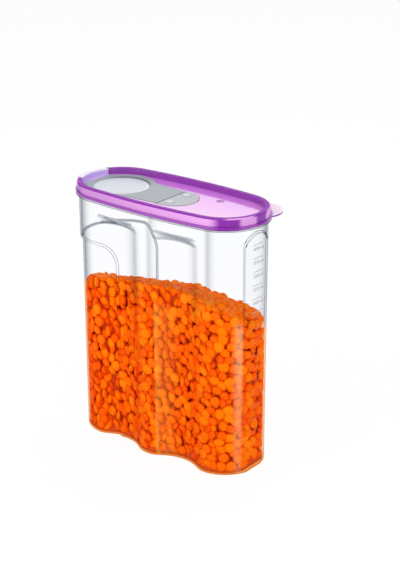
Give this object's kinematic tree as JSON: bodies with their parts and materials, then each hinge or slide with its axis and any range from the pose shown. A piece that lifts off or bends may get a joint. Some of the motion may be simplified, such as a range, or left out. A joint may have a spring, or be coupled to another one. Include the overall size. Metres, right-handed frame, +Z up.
{
  "type": "storage container",
  "caption": "Tall oval fluted food container of clear plastic with a press-on lid whose hinged pour flap closes a gap in the rim, for keeping and pouring dry foods.",
  "frame": {"origin": "centre of the flat base, on the surface the container stands on", "axes": "+X along the container to its graduated end, so the pouring end is at -X; -Y is the front of the picture; +Z is up"},
  "size_m": [0.229, 0.1026, 0.2781],
  "materials": {
    "body_clear": "clear glossy moulded plastic",
    "lid_purple": "glossy moulded plastic",
    "flap_translucent": "translucent natural moulded plastic, satin"
  },
  "bodies": {
    "container": {"container": "body_clear"},
    "lid": {"lid": "lid_purple", "flap_tail": "flap_translucent"},
    "flap": {"pour_flap": "flap_translucent"}
  },
  "joints": [
    {"name": "lid_lift", "type": "slide", "parent": "container", "child": "lid", "axis": [0, 0, 1], "range_m": [0, 0.05]},
    {"name": "flap_hinge", "type": "hinge", "parent": "lid", "child": "flap", "pos_m": [0, 0, 0.2721], "axis": [0, 1, 0], "range_deg": [0, 165]}
  ]
}
